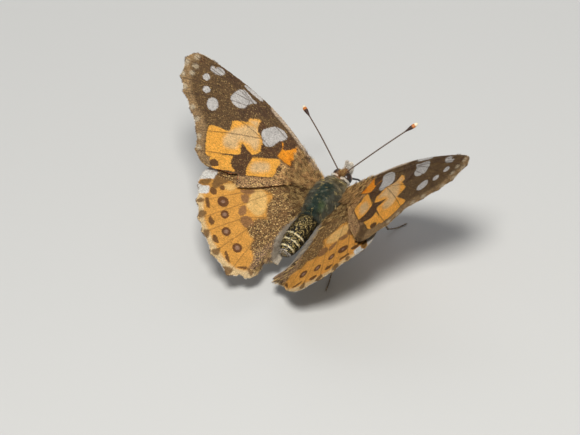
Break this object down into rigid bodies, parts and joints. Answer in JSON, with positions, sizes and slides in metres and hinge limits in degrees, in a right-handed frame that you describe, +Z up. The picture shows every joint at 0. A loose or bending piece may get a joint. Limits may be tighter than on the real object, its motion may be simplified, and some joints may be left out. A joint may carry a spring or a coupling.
{
  "type": "painted lady butterfly",
  "caption": "Life-size painted lady butterfly standing on four legs with its wings half raised, as a still museum model.",
  "frame": {"origin": "on the floor under the middle of the butterfly's box", "axes": "+X to the insect's left, across the spread wings; -Y the way the head faces; +Z up from the floor it stands on"},
  "size_m": [0.0582, 0.0378, 0.0267],
  "materials": {
    "wing": "dusty scales, orange with dark brown and white marks",
    "body_hair": "fine hair over dark blue-green",
    "abdomen": "black scales flecked with gold, pale bands",
    "eye": "glossy, finely faceted",
    "palp": "pale scales with dark lines",
    "dark_horn": "dry dark horn with fine pale rings",
    "leg": "tan scales with short spines"
  },
  "bodies": {
    "root": {"head": "body_hair", "eye_left": "eye", "eye_right": "eye", "palp_left": "palp", "palp_right": "palp", "proboscis": "dark_horn", "antenna_left": "dark_horn", "antenna_right": "dark_horn", "thorax": "body_hair", "abdomen": "abdomen", "forewing_left": "wing", "forewing_right": "wing", "hindwing_left": "wing", "hindwing_right": "wing", "foreleg_left": "leg", "foreleg_right": "leg", "midleg_left": "leg", "midleg_right": "leg", "hindleg_left": "leg", "hindleg_right": "leg"}
  },
  "joints": []
}
